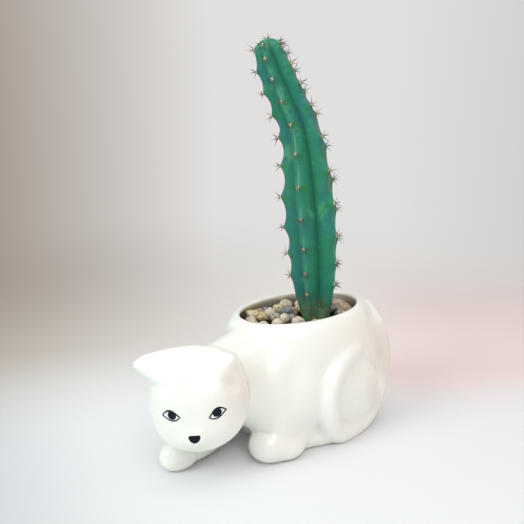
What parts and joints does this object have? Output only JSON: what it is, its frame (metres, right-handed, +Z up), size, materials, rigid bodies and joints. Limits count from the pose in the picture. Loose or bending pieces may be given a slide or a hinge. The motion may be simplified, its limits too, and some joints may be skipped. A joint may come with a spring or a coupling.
{
  "type": "potted cactus",
  "caption": "Columnar cactus with scalloped ribs and spined areoles, standing in a white glazed planter shaped as a crouching cat, with pebbles on its soil.",
  "frame": {"origin": "on the ground, in the planter's flat base, under the centre of its mouth", "axes": "+Z up; the cat's body faces -Y and its left side is +X"},
  "size_m": [0.0884, 0.1467, 0.2008],
  "materials": {
    "white_glaze": "gloss",
    "soil": "matte",
    "stem_green": "satin",
    "stone_0": "matte",
    "stone_1": "matte",
    "stone_2": "matte",
    "stone_3": "matte",
    "stone_4": "matte"
  },
  "bodies": {
    "root": {"cat_pot": "white_glaze", "soil": "soil", "cactus": "stem_green", "pebble_01": "stone_1", "pebble_02": "stone_2", "pebble_03": "stone_3", "pebble_04": "stone_1", "pebble_05": "stone_0", "pebble_06": "stone_2", "pebble_07": "stone_3", "pebble_08": "stone_3", "pebble_09": "stone_4", "pebble_10": "stone_0", "pebble_11": "stone_0", "pebble_12": "stone_0", "pebble_13": "stone_3", "pebble_14": "stone_0", "pebble_15": "stone_1", "pebble_16": "stone_2", "pebble_17": "stone_3", "pebble_18": "stone_4", "pebble_19": "stone_0", "pebble_20": "stone_1", "pebble_21": "stone_2", "pebble_22": "stone_3", "pebble_23": "stone_4", "pebble_24": "stone_0", "pebble_25": "stone_1", "pebble_26": "stone_2", "pebble_27": "stone_3", "pebble_28": "stone_4", "pebble_29": "stone_0", "pebble_30": "stone_1", "pebble_31": "stone_4", "pebble_32": "stone_2", "pebble_33": "stone_4", "pebble_34": "stone_2", "pebble_35": "stone_3", "pebble_36": "stone_0", "pebble_37": "stone_1", "pebble_38": "stone_0", "pebble_39": "stone_3", "pebble_40": "stone_4", "pebble_41": "stone_4", "pebble_42": "stone_1"}
  },
  "joints": []
}
